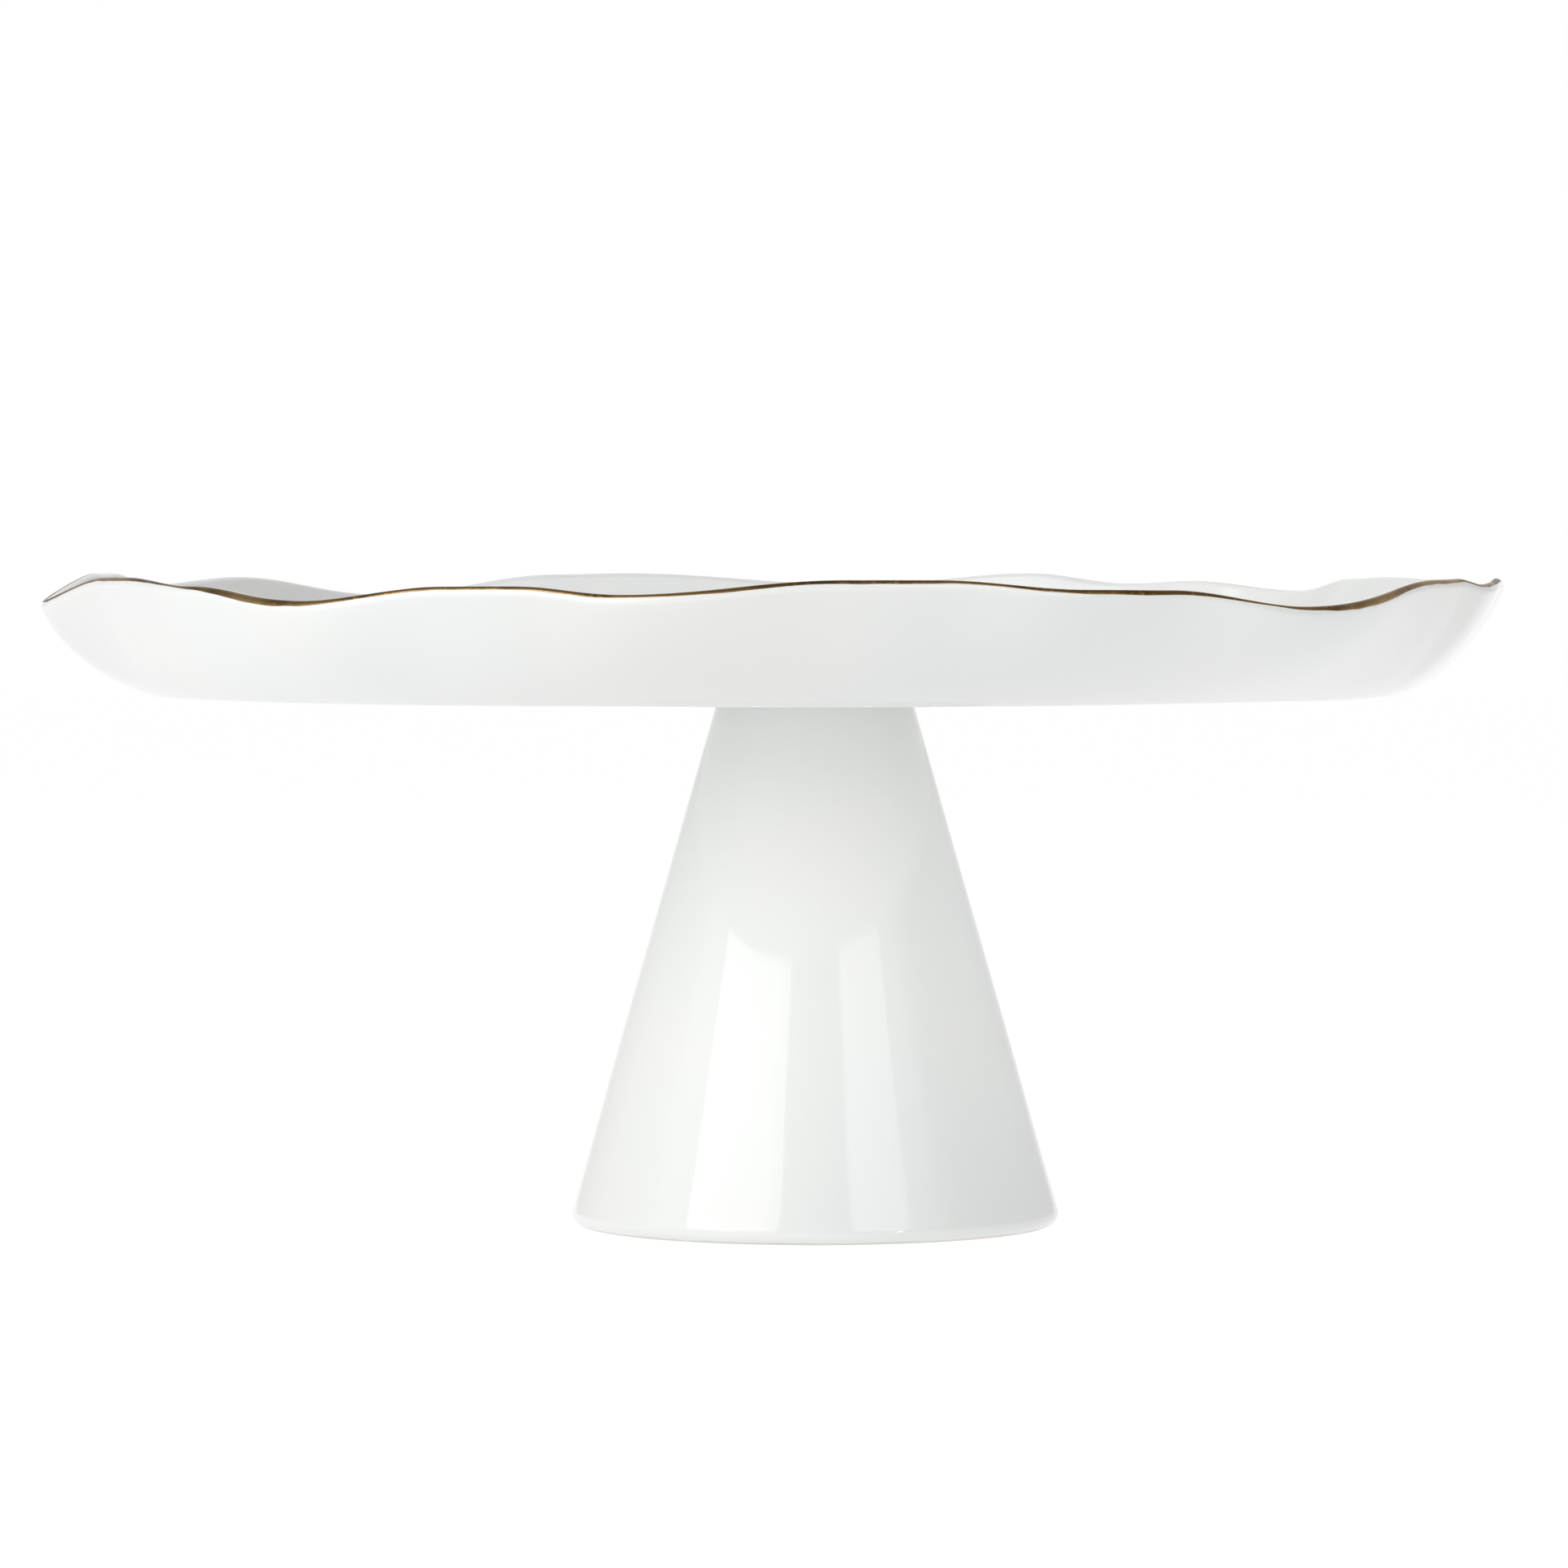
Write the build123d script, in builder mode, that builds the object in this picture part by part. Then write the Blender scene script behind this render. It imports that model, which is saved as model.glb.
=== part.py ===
from build123d import *

import math
import os

# Footed cake stand in glazed porcelain: a shallow plate with a hand-shaped wavy rim and a gold
# band on its lip, held on a hollow conical pedestal by a potted bolt, washers and a wing nut.
# Millimetres, +Z up. The origin is on the table, at the centre of the pedestal's foot ring.

# Overall sizes.
seat_height = 111.0  # table to the flat underside of the plate
rim_radius = 151.25  # pedestal axis to the edge of the lip, averaged round the plate

# Plate. Its outline is a little off the pedestal's axis, towards -X.
rim_shift = 6.25
base_shift = 8.5
wall_overhang = 20.5  # how far the lip reaches out beyond the flat underside, averaged
lip_rise = 23.0  # flat underside to the top of the lip, averaged
lip_flare = 1.3  # the lip leans out by this much for each mm that it dips
lip_thickness = 3.0
floor_thickness = 5.0
floor_inset = 4.0  # edge of the flat floor, inside the edge of the flat underside
base_slope = 20.0  # degrees above the horizontal, where the wall leaves the underside
lip_slope = 65.0  # the same at the lip

# Wave of the rim: angle from +X in degrees, and height of the lip above its average.
rim_wave = [
    (9.0, -0.3),
    (29.0, 1.35),
    (34.0, 1.0),
    (43.0, -1.65),
    (54.0, 0.5),
    (61.0, -0.15),
    (70.0, 2.1),
    (86.0, -0.4),
    (107.0, 2.15),
    (113.0, 1.9),
    (127.5, -2.7),
    (146.0, 1.5),
    (157.0, -0.2),
    (169.0, 2.4),
    (174.0, 2.4),
    (188.0, -3.0),
    (201.0, 1.6),
    (206.0, 1.6),
    (218.0, 0.0),
    (231.0, -2.7),
    (242.0, 0.1),
    (248.0, 0.15),
    (256.0, -1.35),
    (272.0, 1.4),
    (279.0, 1.4),
    (290.0, -0.5),
    (297.0, -0.6),
    (308.5, -3.85),
    (330.0, 1.3),
    (335.0, 1.45),
    (339.0, 0.3),
    (351.0, 1.4),
]

# Gold band, brushed over the lip and fired on.
gilding_thickness = 0.15
gilding_start = 15.0  # degrees round the lip from its outer edge
gilding_end = 115.0

# Pedestal: a hollow cone, closed above by a thick deck.
foot_radius = 51.9  # the cone carried down to the table, before its edge is rounded
top_radius = 20.1
pedestal_wall = 5.5
deck_thickness = 10.0
deck_fillet = 4.0
foot_rounding = 2.5
foot_inner_rounding = 0.5

# Bolted joint, M6.
bolt_diameter = 6.0
bolt_length = 25.0
bolt_point = 0.8
head_flats = 10.0
head_height = 4.0
head_chamfer = 0.4
hole_clearance = 0.5  # radial, in the deck and in the washers
thread_clearance = 0.02  # radial, between the bolt's crests and the nut
washer_radius = 9.0
washer_thickness = 1.6
rubber_thickness = 2.0
nut_height = 8.0
nut_seat_radius = 6.5
nut_end_radius = 5.2
wing_radius = 15.0
wing_reach = 15.0  # seat of the nut to the tips of its wings
wing_thickness = 2.5
wing_rounding = 2.5

# Boss under the plate, nested in the deck, with a dovetailed socket for the bolt's head.
boss_depth = 5.0
boss_wall = 3.0
boss_clearance = 0.5
socket_rise = 1.5  # top of the bolt's head above the flat underside
cement_gap = 1.2  # round the corners of the bolt's head
cement_key = 1.0  # how much wider the socket is at its top

# Seat gasket, flush in a groove in the pedestal's top.
gasket_width = 3.0
gasket_thickness = 0.8

# Levels and radii that follow.
base_radius = rim_radius - wall_overhang
lip_level = seat_height + lip_rise
floor_level = seat_height + floor_thickness
deck_underside = seat_height - deck_thickness
boss_underside = seat_height - boss_depth
head_top = seat_height + socket_rise
bolt_shoulder = head_top - head_height
bolt_end = bolt_shoulder - bolt_length
washer_top = deck_underside - rubber_thickness
nut_seat = washer_top - washer_thickness
nut_end = nut_seat - nut_height
bolt_radius = bolt_diameter / 2
hole_radius = bolt_radius + hole_clearance
socket_mouth = head_flats / math.sqrt(3) + cement_gap
socket_top = socket_mouth + cement_key
boss_radius = socket_top + boss_wall
recess_radius = boss_radius + boss_clearance
recess_depth = boss_depth + boss_clearance
gasket_middle = (recess_radius + top_radius) / 2
gasket_inner = gasket_middle - gasket_width / 2
gasket_outer = gasket_middle + gasket_width / 2
gasket_underside = seat_height - gasket_thickness

# Where the plate's skins have their rings: steps along the wall, and turns round the lip.
wall_steps = (0.0, 0.2, 0.4, 0.6, 0.8)
gilded_turns = [gilding_start + (gilding_end - gilding_start) * i / 4 for i in range(5)]
bare_turns = [gilding_end + (180 - gilding_end) * i / 2 for i in range(3)]


# ---- shape of the plate


def wave(angle):
    """Height of the lip above its average, easing from each crest to the next trough."""
    first_angle, first_height = rim_wave[0]
    turned = (angle - first_angle) % 360 + first_angle
    points = rim_wave + [(first_angle + 360, first_height)]
    for (start, low), (end, high) in zip(points, points[1:]):
        if turned <= end:
            share = (turned - start) / (end - start)
            return low + (high - low) * (1 - math.cos(math.pi * share)) / 2
    return first_height


def away(point, degrees, length):
    """The point at a length from another, in a direction above the horizontal."""
    slope = math.radians(degrees)
    return point[0] + length * math.cos(slope), point[1] + length * math.sin(slope)


def lip_point(angle, turn, swell=0.0):
    """Radius and height on the half-round lip, turn degrees on from its outer edge."""
    rise = wave(angle)
    edge = rim_radius - rim_shift * math.cos(math.radians(angle)) - lip_flare * rise
    centre = (edge - lip_thickness / 2, lip_level + rise - lip_thickness / 2)
    return away(centre, lip_slope - 90 + turn, lip_thickness / 2 + swell)


def curve_point(start, leave, end, arrive, step):
    """Radius and height on a cubic curve that leaves and arrives at the given slopes."""
    reach = math.dist(start, end) / 3
    handles = (start, away(start, leave, reach), away(end, arrive, -reach), end)
    back = 1 - step
    weights = (back**3, 3 * step * back**2, 3 * step**2 * back, step**3)
    radius = sum(weight * point[0] for weight, point in zip(weights, handles))
    height = sum(weight * point[1] for weight, point in zip(weights, handles))
    return radius, height


def outer_point(angle, step):
    """Radius and height on the wall's outer face, from the underside to the lip."""
    edge = base_radius - base_shift * math.cos(math.radians(angle))
    return curve_point((edge, seat_height), base_slope, lip_point(angle, 0), lip_slope, step)


def inner_point(angle, step):
    """Radius and height on the wall's inner face, from the floor to the lip."""
    edge = base_radius - base_shift * math.cos(math.radians(angle)) - floor_inset
    return curve_point((edge, floor_level), 0, lip_point(angle, 180), lip_slope, step)


def ring(point_at, *place):
    """Closed smooth curve round the plate, through point_at(angle, *place)."""
    angles = []
    for (start, _), (end, _) in zip(rim_wave, rim_wave[1:] + [(rim_wave[0][0] + 360, 0)]):
        angles += [start, (start + end) / 2]
    points = []
    for angle in angles:
        radius, height = point_at(angle, *place)
        points.append(Vector(radius, 0, height).rotate(Axis.Z, angle))
    turns = [angle / 360 for angle in angles + [angles[0] + 360]]
    return Wire([Edge.make_spline(points, periodic=True, parameters=turns)])


def skin(rings):
    """Smooth skin through rings."""
    return Shell.make_loft(rings).faces()


outer_rings = [ring(outer_point, step) for step in wall_steps]
outer_lip = [ring(lip_point, turn) for turn in (0.0, gilding_start)]
gilded_lip = [outer_lip[-1]] + [ring(lip_point, turn) for turn in gilded_turns[1:]]
bare_lip = [gilded_lip[-1]] + [ring(lip_point, turn) for turn in bare_turns[1:]]
inner_rings = [ring(inner_point, step) for step in reversed(wall_steps)]
gilded_face = skin(gilded_lip)

dish_faces = [Face(outer_rings[0])]
dish_faces += skin(outer_rings + [outer_lip[0]])
dish_faces += skin(outer_lip)
dish_faces += gilded_face
dish_faces += skin(bare_lip)
dish_faces += skin([bare_lip[-1]] + inner_rings)
dish_faces += [Face(inner_rings[-1])]
dish = Solid(Shell(dish_faces))

gold_lip = [ring(lip_point, turn, gilding_thickness) for turn in gilded_turns]
gold_faces = list(gilded_face)
gold_faces += skin(gold_lip)
gold_faces += skin([gilded_lip[0], gold_lip[0]])
gold_faces += skin([gilded_lip[-1], gold_lip[-1]])
gold_band = Solid(Shell(gold_faces))


# ---- porcelain

# Plate: the dish, with the boss under its middle and the socket sunk into both.
with BuildPart() as plate:
    add(dish)
    with BuildSketch(Plane.XY.offset(boss_underside)):
        Circle(boss_radius)
    extrude(amount=boss_depth)
    with BuildSketch(Plane.XZ):
        with BuildLine():
            Polyline(
                (0, boss_underside),
                (socket_mouth, boss_underside),
                (socket_top, head_top),
                (0, head_top),
                close=True,
            )
        make_face()
    revolve(axis=Axis.Z, mode=Mode.SUBTRACT)

# Gold band on the lip.
with BuildPart() as rim_gilding:
    add(gold_band)

# Pedestal: one revolved wall with its deck, recessed for the boss and grooved for the gasket.
cone_slope = math.atan2(foot_radius - top_radius, seat_height)
inner_foot = foot_radius - pedestal_wall / math.cos(cone_slope)
inner_deck = inner_foot - deck_underside * math.tan(cone_slope)
with BuildPart() as pedestal:
    with BuildSketch(Plane.XZ):
        with BuildLine():
            Polyline(
                (inner_foot, 0),
                (foot_radius, 0),
                (top_radius, seat_height),
                (0, seat_height),
                (0, deck_underside),
                (inner_deck, deck_underside),
                close=True,
            )
        section = make_face()
        corners = section.vertices()
        fillet(corners.sort_by_distance((foot_radius, 0))[0], foot_rounding)
        fillet(corners.sort_by_distance((inner_foot, 0))[0], foot_inner_rounding)
        fillet(corners.sort_by_distance((inner_deck, deck_underside))[0], deck_fillet)
    revolve(axis=Axis.Z)
    with BuildSketch(Plane.XY.offset(seat_height)):
        Circle(recess_radius)
    extrude(amount=-recess_depth, mode=Mode.SUBTRACT)
    with BuildSketch(Plane.XY.offset(seat_height)):
        Circle(gasket_outer)
        Circle(gasket_inner, mode=Mode.SUBTRACT)
    extrude(amount=-gasket_thickness, mode=Mode.SUBTRACT)
    with Locations((0, 0, seat_height)):
        Hole(hole_radius)


# ---- joint between plate and pedestal

# Gasket that keeps the two glazed faces from grinding.
with BuildPart() as seat_gasket:
    with BuildSketch(Plane.XY.offset(gasket_underside)):
        Circle(gasket_outer)
        Circle(gasket_inner, mode=Mode.SUBTRACT)
    extrude(amount=gasket_thickness)

# Hex bolt, head up in the socket. Its thread is a plain shank at the crests' diameter.
with BuildPart() as mounting_bolt:
    with BuildSketch(Plane.XY.offset(bolt_shoulder)):
        RegularPolygon(head_flats / 2, 6, major_radius=False)
    extrude(amount=head_height)
    chamfer(mounting_bolt.faces().sort_by(Axis.Z)[-1].edges(), head_chamfer)
    with BuildSketch(Plane.XY.offset(bolt_shoulder)):
        Circle(bolt_radius)
    extrude(amount=-bolt_length)
    chamfer(mounting_bolt.faces().sort_by(Axis.Z)[0].edges(), bolt_point)

# Potting cement, cast round the bolt's head up to the boss's end face.
with BuildPart() as potting_cement:
    with BuildSketch(Plane.XZ):
        with BuildLine():
            Polyline(
                (0, boss_underside),
                (socket_mouth, boss_underside),
                (socket_top, head_top),
                (0, head_top),
                close=True,
            )
        make_face()
    revolve(axis=Axis.Z)
    add(mounting_bolt.part, mode=Mode.SUBTRACT)


# Washers under the deck.
def washer(top, thickness):
    """Flat round washer hanging below a level."""
    with BuildPart() as made:
        with BuildSketch(Plane.XY.offset(top)):
            Circle(washer_radius)
            Circle(hole_radius, mode=Mode.SUBTRACT)
        extrude(amount=-thickness)
    return made


rubber_washer = washer(deck_underside, rubber_thickness)
steel_washer = washer(washer_top, washer_thickness)

# Wing nut, its wings hanging down where fingers reach them.
with BuildPart() as wing_nut:
    with BuildSketch(Plane.XZ):
        with BuildLine():
            Polyline(
                (0, nut_seat),
                (nut_seat_radius, nut_seat),
                (nut_end_radius, nut_end),
                (0, nut_end),
                close=True,
            )
        make_face()
    revolve(axis=Axis.Z)
    with BuildSketch(Plane.XZ):
        with BuildLine():
            Polyline(
                (bolt_radius, nut_seat - nut_height / 4),
                (nut_seat_radius, nut_seat - nut_height / 4),
                (wing_radius, nut_end + wing_thickness / 2),
                (wing_radius, nut_seat - wing_reach),
                (wing_radius - nut_end_radius, nut_seat - wing_reach),
                (nut_end_radius - wing_thickness / 2, nut_end),
                (bolt_radius, nut_end),
                close=True,
            )
        wing = make_face()
        outermost = wing.vertices().group_by(Axis.X)[-1]
        fillet(outermost, wing_rounding)
    extrude(amount=wing_thickness / 2, both=True)
    mirror(about=Plane.YZ)
    with Locations((0, 0, nut_seat)):
        Hole(bolt_radius + thread_clearance)


os.makedirs("parts", exist_ok=True)
pieces = {
    "plate": plate,
    "rim_gilding": rim_gilding,
    "pedestal": pedestal,
    "seat_gasket": seat_gasket,
    "mounting_bolt": mounting_bolt,
    "potting_cement": potting_cement,
    "rubber_washer": rubber_washer,
    "steel_washer": steel_washer,
    "wing_nut": wing_nut,
}
for name, piece in pieces.items():
    piece.part.label = name
    export_step(piece.part, f"parts/{name}.step")
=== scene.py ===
import math

import bpy
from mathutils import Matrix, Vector, noise


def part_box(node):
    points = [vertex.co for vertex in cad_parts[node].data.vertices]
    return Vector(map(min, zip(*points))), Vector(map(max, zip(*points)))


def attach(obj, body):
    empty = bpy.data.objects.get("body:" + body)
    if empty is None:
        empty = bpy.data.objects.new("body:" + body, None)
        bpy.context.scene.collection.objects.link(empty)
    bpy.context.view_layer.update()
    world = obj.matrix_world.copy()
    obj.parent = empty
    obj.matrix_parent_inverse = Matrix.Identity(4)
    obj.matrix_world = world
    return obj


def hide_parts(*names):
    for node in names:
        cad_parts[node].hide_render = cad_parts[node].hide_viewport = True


# Footed cake stand: a wavy porcelain plate with a gold lip, bolted on a hollow conical foot.
# Lengths in the dictionaries are millimetres, and angles are degrees.
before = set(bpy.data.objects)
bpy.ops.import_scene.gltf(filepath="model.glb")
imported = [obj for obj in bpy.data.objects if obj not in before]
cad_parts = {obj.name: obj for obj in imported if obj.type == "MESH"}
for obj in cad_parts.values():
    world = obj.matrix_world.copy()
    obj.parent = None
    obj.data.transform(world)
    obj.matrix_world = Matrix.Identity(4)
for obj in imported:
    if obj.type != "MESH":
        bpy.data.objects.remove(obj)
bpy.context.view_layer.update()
mm = 0.001
print("frame loaded:", len(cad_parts), "nodes")


def level(node, side):
    # lowest (0) or highest (1) level of a CAD node
    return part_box(node)[side].z / mm


def addNode(tree, kind, inputs=None, output=0, **settings):
    # inputs: a socket's name or place, to a value or to another node's output
    node = tree.nodes.new(kind)
    for name, value in settings.items():
        setattr(node, name, value)
    for name, value in (inputs or {}).items():
        if isinstance(value, bpy.types.NodeSocket):
            tree.links.new(value, node.inputs[name])
        else:
            node.inputs[name].default_value = value
    return node.outputs[output] if node.outputs else node


def linear(hexColour):
    # sRGB hex to the linear colour that a socket takes
    parts = [int(hexColour[i:i + 2], 16) / 255 for i in (1, 3, 5)]
    return [c / 12.92 if c <= 0.04045 else ((c + 0.055) / 1.055) ** 2.4 for c in parts] + [1]


def newMaterial(name):
    material = bpy.data.materials.new(name)
    material.use_nodes = True
    tree = material.node_tree
    tree.nodes.clear()
    place = addNode(tree, "ShaderNodeTexCoord", output="Object")
    return material, tree, place


def finishShader(tree, inputs):
    shader = addNode(tree, "ShaderNodeBsdfPrincipled", inputs)
    addNode(tree, "ShaderNodeOutputMaterial", {"Surface": shader})


glaze = {
    "clear": "#e1e1de",  # white body under clear glaze
    "pooled": "#dadddd",  # where the glaze ran thicker, a touch cooler
    "bare": "#d9d6d0",  # wiped foot ring
    "bareGrit": "#c8c4bc",
    "speck": "#a9a298",  # iron specks in the body
    "cloudSize": 60.0,
    "peelSize": 5.0,
    "peelDepth": 0.0025,
    "flowSize": 24.0,
    "gloss": (0.03, 0.08),  # roughness, from where the glaze ran smoothest
    "bareRoughness": 0.85,
    "refraction": 1.52,
    "speckSpacing": 34.0,
    "speckRadius": 0.3,
    "speckStrength": 0.6,  # glaze veils the specks
    "gritSize": 0.6,
    "bareTop": 0.5,  # the foot ring is wiped up to here above the table
    "lineSwing": 0.6,  # and the glaze line strays by this share of that
    "lineSize": 9.0,
    "lineEdge": 0.05,
}


def makePorcelain():
    # Hard porcelain, glazed and fired: clean white, wet gloss, a soft peel in its highlights.
    g = glaze
    material, tree, place = newMaterial("glazedPorcelain")
    cloud = addNode(tree, "ShaderNodeTexNoise", {"Vector": place, "Scale": 1 / (g["cloudSize"] * mm)})
    tone = addNode(tree, "ShaderNodeMix", {
        0: cloud, 6: linear(g["clear"]), 7: linear(g["pooled"])}, output=2, data_type="RGBA")
    cells = addNode(tree, "ShaderNodeTexVoronoi", {
        "Vector": place, "Scale": 1 / (g["speckSpacing"] * mm)}, output="Distance")
    edge = g["speckRadius"] / g["speckSpacing"]
    speck = addNode(tree, "ShaderNodeMapRange", {
        "Value": cells, "From Min": edge / 2, "From Max": edge, "To Min": g["speckStrength"],
        "To Max": 0.0})
    spotted = addNode(tree, "ShaderNodeMix", {
        0: speck, 6: tone, 7: linear(g["speck"])}, output=2, data_type="RGBA")
    # the glaze line of the wiped foot ring wanders up and down
    height = addNode(tree, "ShaderNodeSeparateXYZ", {0: place}, output="Z")
    wander = addNode(tree, "ShaderNodeTexNoise", {"Vector": place, "Scale": 1 / (g["lineSize"] * mm)})
    line = addNode(tree, "ShaderNodeMapRange", {
        "Value": wander, "To Min": g["bareTop"] * mm * (1 - g["lineSwing"]),
        "To Max": g["bareTop"] * mm * (1 + g["lineSwing"])})
    above = addNode(tree, "ShaderNodeMath", {0: height, 1: line}, operation="SUBTRACT")
    bare = addNode(tree, "ShaderNodeMapRange", {
        "Value": above, "From Min": -g["lineEdge"] * mm, "From Max": g["lineEdge"] * mm,
        "To Min": 1.0, "To Max": 0.0})
    grit = addNode(tree, "ShaderNodeTexNoise", {
        "Vector": place, "Scale": 1 / (g["gritSize"] * mm), "Detail": 3.0})
    biscuit = addNode(tree, "ShaderNodeMix", {
        0: grit, 6: linear(g["bare"]), 7: linear(g["bareGrit"])}, output=2, data_type="RGBA")
    colour = addNode(tree, "ShaderNodeMix", {
        0: bare, 6: spotted, 7: biscuit}, output=2, data_type="RGBA")
    flow = addNode(tree, "ShaderNodeTexNoise", {"Vector": place, "Scale": 1 / (g["flowSize"] * mm)})
    gloss = addNode(tree, "ShaderNodeMapRange", {
        "Value": flow, "From Min": 0.3, "From Max": 0.7, "To Min": g["gloss"][0],
        "To Max": g["gloss"][1]})
    rough = addNode(tree, "ShaderNodeMix", {0: bare, 2: gloss, 3: g["bareRoughness"]})
    peel = addNode(tree, "ShaderNodeTexNoise", {
        "Vector": place, "Scale": 1 / (g["peelSize"] * mm), "Detail": 1.0})
    relief = addNode(tree, "ShaderNodeMix", {0: bare, 2: peel, 3: grit})
    bump = addNode(tree, "ShaderNodeBump", {"Height": relief, "Distance": g["peelDepth"] * mm})
    finishShader(tree, {
        "Base Color": colour, "Roughness": rough, "Normal": bump, "IOR": g["refraction"]})
    return material


lustre = {
    "film": "#a08358",  # fired gold, darkened to an old bronze: painted reflection of a dark room
    "heavy": "#66502d",  # darker still in the heavier strokes: painted dark reflection too
    "edge": "#c98f4c",  # painted warm highlight, streaked in along the bristle marks
    "strokeSize": 16.0,
    "strokeRange": (0.38, 0.62),  # from a light stroke to a heavy one, on the noise
    "rough": (0.22, 0.36),  # and their roughness
    "bristleSize": 1.1,
    "bristleRange": (0.52, 0.7),
    "highlightStrength": 0.5,
    "bristleDepth": 0.012,
}


def makeGold():
    # Liquid gold, brushed on and fired: a thin metal film, streaked along the lip by the brush; its
    # colour carries a painted dark reflection and painted warm highlights.
    g = lustre
    material, tree, place = newMaterial("firedGold")
    load = addNode(tree, "ShaderNodeTexNoise", {"Vector": place, "Scale": 1 / (g["strokeSize"] * mm)})
    heavy = addNode(tree, "ShaderNodeMapRange", {
        "Value": load, "From Min": g["strokeRange"][0], "From Max": g["strokeRange"][1]})
    # painted dark reflection: the gold's colour is darkened to bronze, more in the heavy strokes
    body = addNode(tree, "ShaderNodeMix", {
        0: heavy, 6: linear(g["film"]), 7: linear(g["heavy"])}, output=2, data_type="RGBA")
    bristle = addNode(tree, "ShaderNodeTexNoise", {
        "Vector": place, "Scale": 1 / (g["bristleSize"] * mm), "Detail": 3.0})
    # painted highlight: warm streaks mixed into the gold's colour
    warmHighlight = addNode(tree, "ShaderNodeMapRange", {
        "Value": bristle, "From Min": g["bristleRange"][0], "From Max": g["bristleRange"][1],
        "To Max": g["highlightStrength"]})
    colour = addNode(tree, "ShaderNodeMix", {
        0: warmHighlight, 6: body, 7: linear(g["edge"])}, output=2, data_type="RGBA")
    rough = addNode(tree, "ShaderNodeMapRange", {
        "Value": heavy, "To Min": g["rough"][0], "To Max": g["rough"][1]})
    bump = addNode(tree, "ShaderNodeBump", {"Height": bristle, "Distance": g["bristleDepth"] * mm})
    finishShader(tree, {"Base Color": colour, "Metallic": 1.0, "Roughness": rough, "Normal": bump})
    return material


# The joint's materials: two tones, roughness from and to, size and depth of the grain, metal or not.
fittings = {
    # bright zinc plate on steel: bluish silver, faintly clouded
    "zincPlatedSteel": {"tones": ("#c9ced4", "#a4aab2"), "rough": (0.2, 0.34), "grain": 1.6,
                        "depth": 0.006, "metallic": 1.0},
    # die-cast zinc: greyer, with the mould's sandy skin
    "castZinc": {"tones": ("#b9bcbf", "#94989b"), "rough": (0.34, 0.5), "grain": 0.7,
                 "depth": 0.03, "metallic": 1.0},
    # moulded black nitrile: dull, with a faint grey bloom
    "blackNitrile": {"tones": ("#171717", "#2b2a29"), "rough": (0.55, 0.75), "grain": 1.1,
                     "depth": 0.02, "metallic": 0.0},
    # moulded milky silicone: soft satin
    "milkySilicone": {"tones": ("#dbdad5", "#c8c7c1"), "rough": (0.35, 0.5), "grain": 1.5,
                      "depth": 0.01, "metallic": 0.0},
    # set plaster cement: chalky and pitted
    "plasterCement": {"tones": ("#d2cbbd", "#a89f8e"), "rough": (0.85, 0.95), "grain": 0.8,
                      "depth": 0.12, "metallic": 0.0},
}


def makeFitting(name):
    f = fittings[name]
    material, tree, place = newMaterial(name)
    grain = addNode(tree, "ShaderNodeTexNoise", {
        "Vector": place, "Scale": 1 / (f["grain"] * mm), "Detail": 4.0})
    cloud = addNode(tree, "ShaderNodeMapRange", {"Value": grain, "From Min": 0.3, "From Max": 0.7})
    colour = addNode(tree, "ShaderNodeMix", {
        0: cloud, 6: linear(f["tones"][0]), 7: linear(f["tones"][1])}, output=2, data_type="RGBA")
    rough = addNode(tree, "ShaderNodeMapRange", {
        "Value": cloud, "To Min": f["rough"][0], "To Max": f["rough"][1]})
    bump = addNode(tree, "ShaderNodeBump", {"Height": cloud, "Distance": f["depth"] * mm})
    finishShader(tree, {
        "Base Color": colour, "Metallic": f["metallic"], "Roughness": rough, "Normal": bump})
    return material


porcelain = makePorcelain()
firedGold = makeGold()
fittingMaterials = {name: makeFitting(name) for name in fittings}
print("materials made:", len(bpy.data.materials))

mergeWithin = 0.004  # welds the seams, and the points on the axis
waverStart, waverFull = 1.0, 15.0  # levels between which the clay's waver comes in


def newTree(name, sockets):
    tree = bpy.data.node_groups.new(name, "GeometryNodeTree")
    for label, kind in sockets.items():
        tree.interface.new_socket(label, in_out="INPUT", socket_type="NodeSocket" + kind)
    tree.interface.new_socket("Geometry", in_out="OUTPUT", socket_type="NodeSocketGeometry")
    return tree, addNode(tree, "NodeGroupInput").node.outputs


def rolledGrid(tree, columns, rows):
    # a grid with the first column twice, to roll it up, and each point's column and row
    lines = addNode(tree, "FunctionNodeIntegerMath", {0: columns, 1: 1}, operation="ADD")
    grid = addNode(tree, "GeometryNodeMeshGrid", {"Vertices X": lines, "Vertices Y": rows})
    index = addNode(tree, "GeometryNodeInputIndex")
    line = addNode(tree, "FunctionNodeIntegerMath", {0: index, 1: rows}, operation="DIVIDE_FLOOR")
    column = addNode(
        tree, "FunctionNodeIntegerMath", {0: line, 1: columns}, operation="FLOORED_MODULO")
    row = addNode(tree, "FunctionNodeIntegerMath", {0: index, 1: rows}, operation="FLOORED_MODULO")
    return grid, column, row


def finishTree(tree, shape, material):
    smooth = addNode(tree, "GeometryNodeSetShadeSmooth", {"Geometry": shape})
    real = addNode(tree, "GeometryNodeRealizeInstances", {"Geometry": smooth})
    dressed = addNode(tree, "GeometryNodeSetMaterial", {"Geometry": real, "Material": material})
    addNode(tree, "NodeGroupOutput", {0: dressed})


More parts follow.
